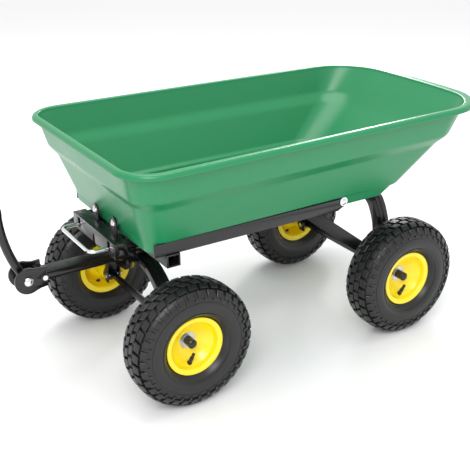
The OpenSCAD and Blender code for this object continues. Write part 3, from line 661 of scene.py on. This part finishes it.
class CART_OT_tub(bpy.types.Operator):
    """Builds the moulded tub with its rolled lip, ledges and raised floor"""

    bl_idname = "cart.tub"
    bl_label = "Tub"

    def execute(self, context):
        sizes = context.scene.cart_tub
        wall, drop, steps = sizes.wall, sizes.lip_drop, sizes.corner_steps
        bottom, top = WALL_LEVELS[0], WALL_LEVELS[-1]
        under = [
            (wall_ring(bottom, PANEL_INSET, PANEL_RISE, steps), 0),
            (wall_ring(bottom, PANEL_INSET - 4 * MM, 0, steps), 1.5),
        ]
        outer = [(wall_ring(level, 0, 0, steps), reach) for level, reach in zip(WALL_LEVELS, OUTER_REACHES)]
        turns = [math.radians(90 * i / LIP_ROLL_STEPS) for i in range(LIP_ROLL_STEPS + 1)]
        roll = [lip_ring(LIP_ROLL * (1 - math.cos(a)), LIP_ROLL * (1 - math.sin(a)), steps) for a in turns]
        lip = [
            (lip_ring(wall, wall, steps), 2),
            (lip_ring(wall, drop, steps), 0.6),
            (lip_ring(0, drop, steps), 1.2),
            *[(turn, 0) for turn in roll],
            (wall_ring(top, wall - 0.5 * MM, 0.016 * (RIM_Z - FLOOR_Z), steps), 5),
        ]
        inner = [
            (wall_ring(WALL_LEVELS[i], wall, INNER_LIFTS[i] * wall, steps), INNER_REACHES[i])
            for i in range(len(WALL_LEVELS) - 1, -1, -1)
        ]
        over = [
            (wall_ring(bottom, PANEL_INSET - 3 * MM, wall, steps), 1.5),
            (wall_ring(bottom, PANEL_INSET + 1 * MM, wall + PANEL_RISE, steps), 0),
        ]
        levels = under + outer + lip + inner + over
        rings = smooth_rings([level for level, _ in levels], [reach * MM for _, reach in levels])
        tub = mesh_object("tub_shell", *rings_to_mesh(rings), "bed", "tub_green", tub_plastic(), sharp=50)
        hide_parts("tub")
        return {"FINISHED"}


# ---------- tyres ----------


# rows of tread blocks from the middle out: shift round the tyre and width, as shares of the pitch,
# start and end along the carcass in millimetres, share of the tread depth, skew in degrees and
# chamfer in millimetres
TREAD_ROWS = (
    (0.0, 0.74, 1.4, 14.5, 1.00, 2.2, 0.9),
    (0.5, 0.76, 16.4, 30.0, 1.00, -1.6, 0.9),
    (0.0, 0.66, 31.5, 44.5, 0.72, 0.0, 0.8),
    (0.5, 0.30, 39.0, 51.0, 0.36, 0.0, 0.5),
)
# raised rings on the sidewall: distance along the carcass and radius of the ring, in millimetres
SIDE_RINGS = ((56.0, 0.9), (80.5, 1.2))
SIDE_RING_LIFT = 0.1
TYRE_STEPS = 136
RING_STEPS = 8
# how far the tread of one wheel is turned from that of the next, in degrees
WHEEL_TURN = 23


def tyre_half_profile():
    """Carcass from the middle of the tread to the bead, as (radius, along) in millimetres."""
    return [
        (126.2, 0),
        (126.0, 12),
        (124.6, 22),
        (121.0, 30),
        (115.0, 35.5),
        (107.0, 38.6),
        (98.0, 40.6),
        (90.0, 41.8),
        (82.0, 41.6),
        (75.0, 39.0),
        (69.5, 34.6),
        (66.0, 30.2),
        (63.5, 26.6),
        (60.5, 25.2),
        (53.0, 25.2),
        (51.2, 22.5),
    ]


def along_profile(path, distance):
    """The place and outward direction at a distance along a profile."""
    left = distance
    for a, b in zip(path, path[1:]):
        step = (b - a).length
        if left <= step:
            break
        left -= step
    direction = (b - a).normalized()
    outward = Vector((direction.y, -direction.x))
    return a + direction * left, outward


def tread_block(path, side, turn, width_deg, start, end, height, skew, chamfer):
    """One tread block: a patch over the carcass, raised, with chamfered edges."""
    lengths = 5
    points, faces = [], []
    # layers of the block from its buried foot to its top: (share of the footprint, height)
    layers = ((1.0, -1.5), (1.0, height - chamfer), (0.86, height))
    grid = {}
    for layer, (share, lift) in enumerate(layers):
        for i in range(lengths + 1):
            u = 0.5 + (i / lengths - 0.5) * share
            distance = start + (end - start) * u
            place, outward = along_profile(path, distance)
            spot = place + outward * lift
            for j in range(3):
                v = (j / 2 - 0.5) * share
                angle = math.radians(turn + v * width_deg + skew * (u - 0.5))
                grid[layer, i, j] = len(points)
                points.append(
                    (
                        spot.x * MM * math.cos(angle),
                        side * spot.y * MM,
                        spot.x * MM * math.sin(angle),
                    )
                )
    edge = [(i, 0) for i in range(lengths + 1)]
    edge += [(lengths, 1), (lengths, 2)]
    edge += [(i, 2) for i in range(lengths - 1, -1, -1)] + [(0, 1)]
    for layer in (0, 1):
        for (i, j), (k, m) in zip(edge, edge[1:] + edge[:1]):
            lower = (grid[layer, i, j], grid[layer, k, m])
            upper = (grid[layer + 1, k, m], grid[layer + 1, i, j])
            faces.append(lower + upper)
    for i in range(lengths):
        for j in (0, 1):
            for layer in (0, 2):
                round_quad = ((i, j), (i + 1, j), (i + 1, j + 1), (i, j + 1))
                quad = [grid[(layer, *spot)] for spot in round_quad]
                faces.append(tuple(quad if layer else reversed(quad)))
    return points, faces


def tyre_mesh(sizes):
    """Points and faces of one tyre round the origin, its axle along Y."""
    path = [Vector(p) for p in tyre_half_profile()]
    outside = [(r * MM, s * MM) for r, s in tyre_half_profile()]
    inside = [(64 * MM, 16 * MM), (84 * MM, 33 * MM), (104 * MM, 31 * MM), (117 * MM, 14 * MM)]
    half = rounded(outside, 3 * MM, 3) + inside
    whole = half + [(r, -s) for r, s in reversed(half)]
    parts = [lathe(whole, TYRE_STEPS, closed=True)]
    height = sizes.tread_depth / MM
    pitch = 360 / sizes.block_count
    ring_turns = [2 * math.pi * k / RING_STEPS for k in range(RING_STEPS)]
    for side in (-1, 1):
        for i in range(sizes.block_count):
            turn = i * pitch + (pitch / 2 if side > 0 else 0)
            for shift, width, start, end, share, skew, chamfer in TREAD_ROWS:
                parts.append(
                    tread_block(
                        path,
                        side,
                        turn + pitch * shift,
                        pitch * width,
                        start,
                        end,
                        height * share,
                        skew * side,
                        chamfer,
                    )
                )
        for distance, radius in SIDE_RINGS:
            place, outward = along_profile(path, distance)
            centre = place + outward * SIDE_RING_LIFT
            section = [
                ((centre.x + radius * math.cos(a)) * MM, side * (centre.y + radius * math.sin(a)) * MM)
                for a in ring_turns
            ]
            parts.append(lathe(section, TYRE_STEPS, closed=True))
    return merged(parts)


class CART_OT_tyres(bpy.types.Operator):
    """Builds the tyres with staggered tread blocks and side ribs"""

    bl_idname = "cart.tyres"
    bl_label = "Tyres"

    def execute(self, context):
        points, faces = tyre_mesh(context.scene.cart_tyres)
        for i, corner in enumerate(CORNERS):
            centre = middle("tyre_" + corner)
            spin = Matrix.Rotation(math.radians(WHEEL_TURN * i), 3, "Y")
            placed = [centre + spin @ Vector(p) for p in points]
            tyre = mesh_object(
                "tyre_tread_" + corner, placed, faces, "wheel_" + corner, "tyre", tyre_rubber(), sharp=32
            )
            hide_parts("tyre_" + corner)
        return {"FINISHED"}


# ---------- rims and hubs ----------


RIM_STEPS = 112
RIM_EDGE = 2.2 * MM


def rim_profile():
    """Closed section of the pressed rim, as (radius, outward) in millimetres."""
    return [
        (62.0, 25.6),
        (62.0, 28.0),
        (59.5, 28.4),
        (52.0, 27.2),
        (49.6, 22.0),
        (48.2, 17.0),
        (43.6, 12.2),
        (38.0, 6.5),
        (31.0, 1.2),
        (24.0, -2.6),
        (20.4, -4.2),
        (19.9, -3.2),
        (17.6, -3.0),
        (17.6, -54.8),
        (20.0, -55.0),
        (20.0, -7.4),
        (31.0, -2.6),
        (40.0, 5.0),
        (48.4, 11.6),
        (48.5, -24.0),
        (51.5, -28.0),
        (62.0, -28.0),
        (62.0, -25.6),
        (53.0, -25.6),
        (51.0, -22.0),
        (51.0, 22.0),
        (53.0, 25.6),
    ]


class CART_OT_rims(bpy.types.Operator):
    """Builds the pressed and painted rims with their hub tubes"""

    bl_idname = "cart.rims"
    bl_label = "Rims"

    def execute(self, context):
        profile = rounded([(r * MM, s * MM) for r, s in rim_profile()], RIM_EDGE, 3, closed=True)
        for corner in CORNERS:
            centre = middle("tyre_" + corner)
            side = 1 if centre.y > 0 else -1
            points, faces = lathe([(r, s * side) for r, s in profile], RIM_STEPS, closed=True)
            placed = [centre + Vector(p) for p in points]
            name, body = "rim_pressing_" + corner, "wheel_" + corner
            rim = mesh_object(name, placed, faces, body, "rim_yellow", rim_paint(), sharp=35)
            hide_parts("rim_" + corner)
            coat_node("bearings_" + corner, zinc_plate())
            coat_node("valve_" + corner, moulded_rubber())
        return {"FINISHED"}


# ---------- steelwork, fasteners and handle ----------


# faces that meet under this angle in degrees are one face, and edges over the other are rounded
FLAT_ANGLE = 1.2
ROUNDED_ANGLE = 38


def coat_node(node, material):
    """Gives a CAD node its material; its mesh stays as it is."""
    mesh = frame["nodes"][node].data
    mesh.materials.clear()
    mesh.materials.append(material)


def rounded_copy(node, material, radius):
    """A copy of a CAD node with its flat faces joined and its edges rounded."""
    source = frame["nodes"][node].data
    mesh = source.copy()
    mesh.name = node + "_shape"
    bm = bmesh.new()
    bm.from_mesh(mesh)
    bmesh.ops.remove_doubles(bm, verts=bm.verts, dist=0.000005)
    bmesh.ops.dissolve_limit(bm, angle_limit=math.radians(FLAT_ANGLE), verts=bm.verts, edges=bm.edges)
    bm.to_mesh(mesh)
    bm.free()
    mesh.materials.clear()
    mesh.materials.append(material)
    for polygon in mesh.polygons:
        polygon.use_smooth = True
    obj = bpy.data.objects.new(node + "_rounded", mesh)
    bpy.context.scene.collection.objects.link(obj)
    bevel = obj.modifiers.new("edges", "BEVEL")
    bevel.width = radius
    bevel.segments = 2
    bevel.limit_method = "ANGLE"
    bevel.angle_limit = math.radians(ROUNDED_ANGLE)
    bevel.use_clamp_overlap = True
    bevel.harden_normals = True
    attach(obj, body_with(node))
    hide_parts(node)
    return obj


class CART_OT_steelwork(bpy.types.Operator):
    """Rounds and coats the frame's pressed, welded and tubular steel"""

    bl_idname = "cart.steelwork"
    bl_label = "Steelwork"

    def execute(self, context):
        radius = context.scene.cart_metal.edge_round
        for node in STEELWORK:
            rounded_copy(node, powder_coat(), radius)
        for node in ROUND_STEEL:
            coat_node(node, powder_coat())
        return {"FINISHED"}


class CART_OT_fasteners(bpy.types.Operator):
    """Plates the bolts, nuts, pins, springs and the release handle"""

    bl_idname = "cart.fasteners"
    bl_label = "Fasteners"

    def execute(self, context):
        for node in CHROME_NODES:
            coat_node(node, chrome_plate())
        for node in ZINC_NODES:
            coat_node(node, zinc_plate())
        coat_node("bed_pad", moulded_rubber())
        coat_node("thrust_washer", plain_nylon())
        return {"FINISHED"}


GRIP_NECK = 15 * MM
GRIP_CORE = 5 * MM
GRIP_END = 3 * MM
GRIP_RIBS = 13
GRIP_STEPS = 64


class CART_OT_grip(bpy.types.Operator):
    """Builds the ribbed rubber grip of the pull handle"""

    bl_idname = "cart.grip"
    bl_label = "Grip"

    def execute(self, context):
        low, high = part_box("handle_grip")
        centre = middle("handle_grip")
        radius = (high.z - low.z) / 2
        ends = (high.y - low.y) / 2
        half = ends - GRIP_NECK
        core = GRIP_CORE
        profile = [(0.0005, -ends), (core, -ends), (core, -half), (radius * 0.86, -half)]
        width = 2 * (half - GRIP_END) / GRIP_RIBS
        for i in range(GRIP_RIBS):
            start = -half + GRIP_END + i * width
            profile += [
                (radius * 0.90, start),
                (radius * 0.995, start + 0.2 * width),
                (radius * 0.995, start + 0.75 * width),
                (radius * 0.90, start + 0.95 * width),
            ]
        profile += [(radius * 0.86, half), (core, half), (core, ends), (0.0005, ends)]
        points, faces = lathe(rounded(profile, 0.8 * MM, 3), GRIP_STEPS)
        placed = [centre + Vector(p) for p in points]
        grip = mesh_object(
            "grip_rubber", placed, faces, "pull_handle", "rubber", moulded_rubber(), sharp=50
        )
        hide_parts("handle_grip")
        return {"FINISHED"}


# ---------- stage ----------


CAMERA_PLACE = (-0.79714, -1.53784, 1.01510)
CAMERA_TURN = (66.3218, 0.5709, -31.8588)
CAMERA_LENS = 67.41
CAMERA_SHIFT = (0.0006, 0.0007)
SKY_STRENGTH = 0.95
FLOOR_HALF = 20.0
FLOOR_COLOUR = (0.93, 0.93, 0.93, 1)


def soft_light(name, place, target, size, power, size_y=None):
    """A rectangular studio light that faces a point."""
    data = bpy.data.lights.new(name, "AREA")
    data.shape = "RECTANGLE"
    data.size = size
    data.size_y = size_y or size
    data.energy = power
    light = bpy.data.objects.new(name, data)
    bpy.context.scene.collection.objects.link(light)
    light.location = place
    light.rotation_euler = (Vector(target) - Vector(place)).to_track_quat("-Z", "Y").to_euler()
    return light


class CART_OT_stage(bpy.types.Operator):
    """Sets the pale floor, the soft studio lights and the camera"""

    bl_idname = "cart.stage"
    bl_label = "Stage"

    def execute(self, context):
        scene = context.scene
        scene.view_settings.view_transform = "Standard"
        self.floor()
        world = bpy.data.worlds.new("studio")
        world.use_nodes = True
        background = world.node_tree.nodes["Background"]
        background.inputs["Color"].default_value = (1.0, 1.0, 1.0, 1)
        background.inputs["Strength"].default_value = SKY_STRENGTH
        scene.world = world
        soft_light("key", (-1.6, -2.2, 2.6), (0.1, 0, 0.3), 1.6, 60)
        soft_light("rear_strip", (1.9, 1.7, 1.6), (0.3, 0.1, 0.35), 0.35, 26, 1.8)
        soft_light("top", (0.2, 0.3, 3.0), (0.1, 0, 0.2), 1.8, 35)
        data = bpy.data.cameras.new("view")
        data.lens = CAMERA_LENS
        data.sensor_width = 36.0
        data.shift_x, data.shift_y = CAMERA_SHIFT
        data.clip_start = 0.05
        data.clip_end = 60.0
        camera = bpy.data.objects.new("view", data)
        scene.collection.objects.link(camera)
        camera.location = CAMERA_PLACE
        camera.rotation_euler = [math.radians(a) for a in CAMERA_TURN]
        scene.camera = camera
        return {"FINISHED"}

    def floor(self):
        """A wide pale floor that isn't part of the cart."""
        mesh = bpy.data.meshes.new("floor")
        half = FLOOR_HALF
        corners = [(-half, -half, 0), (half, -half, 0), (half, half, 0), (-half, half, 0)]
        mesh.from_pydata(corners, [], [(0, 1, 2, 3)])
        floor = bpy.data.objects.new("floor", mesh)
        bpy.context.scene.collection.objects.link(floor)
        material = bpy.data.materials.new("pale floor")
        material.use_nodes = True
        shader = material.node_tree.nodes["Principled BSDF"]
        shader.inputs["Base Color"].default_value = FLOOR_COLOUR
        shader.inputs["Roughness"].default_value = 0.9
        shader.inputs["Specular IOR Level"].default_value = 0.1
        mesh.materials.append(material)


# ---------- panel and registration ----------


class CART_PT_build(bpy.types.Panel):
    """Lists the steps that build the cart"""

    bl_idname = "CART_PT_build"
    bl_label = "Tow Behind Cart"
    bl_space_type = "VIEW_3D"
    bl_region_type = "UI"
    bl_category = "Cart"

    def draw(self, context):
        layout = self.layout
        for group in (context.scene.cart_tub, context.scene.cart_tyres, context.scene.cart_metal):
            box = layout.box()
            for name in group.bl_rna.properties.keys():
                if name not in ("rna_type", "name"):
                    box.prop(group, name)
        for operator in OPERATORS:
            layout.operator(operator.bl_idname)


OPERATORS = (
    CART_OT_stage,
    CART_OT_tub,
    CART_OT_tyres,
    CART_OT_rims,
    CART_OT_steelwork,
    CART_OT_fasteners,
    CART_OT_grip,
)
CLASSES = (TubSettings, TyreSettings, MetalSettings, *OPERATORS, CART_PT_build)


def register():
    for cls in CLASSES:
        bpy.utils.register_class(cls)
    bpy.types.Scene.cart_tub = bpy.props.PointerProperty(type=TubSettings)
    bpy.types.Scene.cart_tyres = bpy.props.PointerProperty(type=TyreSettings)
    bpy.types.Scene.cart_metal = bpy.props.PointerProperty(type=MetalSettings)


def unregister():
    del bpy.types.Scene.cart_metal
    del bpy.types.Scene.cart_tyres
    del bpy.types.Scene.cart_tub
    for cls in reversed(CLASSES):
        bpy.utils.unregister_class(cls)


def main():
    register()
    bpy.ops.cart.stage()
    bpy.ops.cart.tub()
    bpy.ops.cart.tyres()
    bpy.ops.cart.rims()
    bpy.ops.cart.steelwork()
    bpy.ops.cart.fasteners()
    bpy.ops.cart.grip()


if __name__ == "__main__":
    main()
